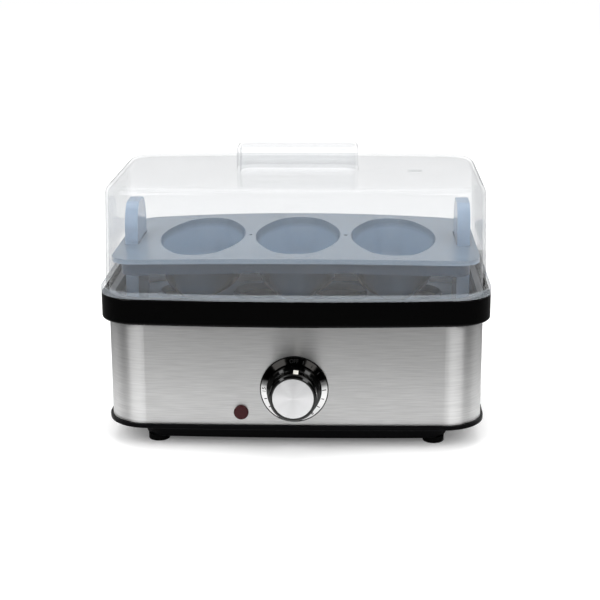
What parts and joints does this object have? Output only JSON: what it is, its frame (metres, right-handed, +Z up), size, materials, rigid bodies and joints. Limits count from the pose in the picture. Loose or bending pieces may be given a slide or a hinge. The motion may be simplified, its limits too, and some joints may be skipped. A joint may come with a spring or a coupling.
{
  "type": "egg cooker",
  "caption": "Countertop egg cooker: brushed steel base with a rotary timer and lamp, heated water bowl, egg rack with handles, poaching tray with oval cups, frosted lid.",
  "frame": {"origin": "on the table under the middle of the whole object's box, knob included", "axes": "+Z up, -Y towards the user and the knob, +X to the user's right, along the long side"},
  "size_m": [0.24, 0.1641, 0.1792],
  "materials": {
    "frosted_plastic": "frosted translucent",
    "blue_grey_plastic": "satin",
    "black_plastic": "gloss",
    "foot_rubber": "matt",
    "brushed_steel": "brushed along its length",
    "bowl_aluminium": "satin",
    "seal_silicone": "matt",
    "bright_metal": "polished",
    "spun_aluminium": "spun in rings",
    "pale_plastic": "satin",
    "red_lens": "clear gloss",
    "zinc_steel": "zinc plated",
    "spring_steel": "blued",
    "heater_sheath": "dull",
    "dark_phenolic": "moulded",
    "glass_sleeving": "woven",
    "contact_brass": "bright",
    "lamp_glass": "clear",
    "brown_insulation": "satin",
    "blue_insulation": "satin",
    "green_insulation": "satin",
    "pale_insulation": "satin"
  },
  "bodies": {
    "base": {"base_pan": "black_plastic", "bowl_seal": "seal_silicone", "bowl_studs": "zinc_steel", "case_screws": "zinc_steel", "cord_gland": "foot_rubber", "dial_bezel": "black_plastic", "dial_ring": "bright_metal", "earth_lead": "green_insulation", "element_clamp": "zinc_steel", "feet": "foot_rubber", "heating_bowl": "bowl_aluminium", "heating_element": "heater_sheath", "indicator_lamp": "lamp_glass", "indicator_lens": "red_lens", "lamp_leads": "pale_insulation", "lamp_retainer": "spring_steel", "live_leads": "brown_insulation", "neutral_lead": "blue_insulation", "rim": "black_plastic", "steel_band": "brushed_steel", "stud_nuts": "zinc_steel", "terminal_block": "pale_plastic", "thermal_fuse": "glass_sleeving", "thermostat": "dark_phenolic", "thermostat_spacer": "zinc_steel", "thermostat_strap": "zinc_steel", "tie_posts": "zinc_steel", "timer_bell": "bright_metal", "timer_case": "zinc_steel", "timer_contacts": "contact_brass", "timer_plate": "zinc_steel", "timer_screws": "zinc_steel", "timer_spring": "spring_steel"},
    "rack": {"egg_rack": "blue_grey_plastic"},
    "tray": {"poaching_tray": "blue_grey_plastic"},
    "cover": {"lid": "frosted_plastic"},
    "knob": {"knob_body": "black_plastic", "knob_cap": "spun_aluminium", "knob_marker": "pale_plastic", "timer_shaft": "zinc_steel"}
  },
  "joints": [
    {"name": "rack_lift", "type": "slide", "parent": "base", "child": "rack", "axis": [0, 0, 1], "range_m": [0, 0.08]},
    {"name": "tray_lift", "type": "slide", "parent": "rack", "child": "tray", "axis": [0, 0, 1], "range_m": [0, 0.07]},
    {"name": "lid_lift", "type": "slide", "parent": "tray", "child": "cover", "axis": [0, 0, 1], "range_m": [0, 0.09]},
    {"name": "knob_turn", "type": "hinge", "parent": "base", "child": "knob", "pos_m": [0, -0.06267, 0.0395], "axis": [0, 1, 0], "range_deg": [0, 270]}
  ]
}
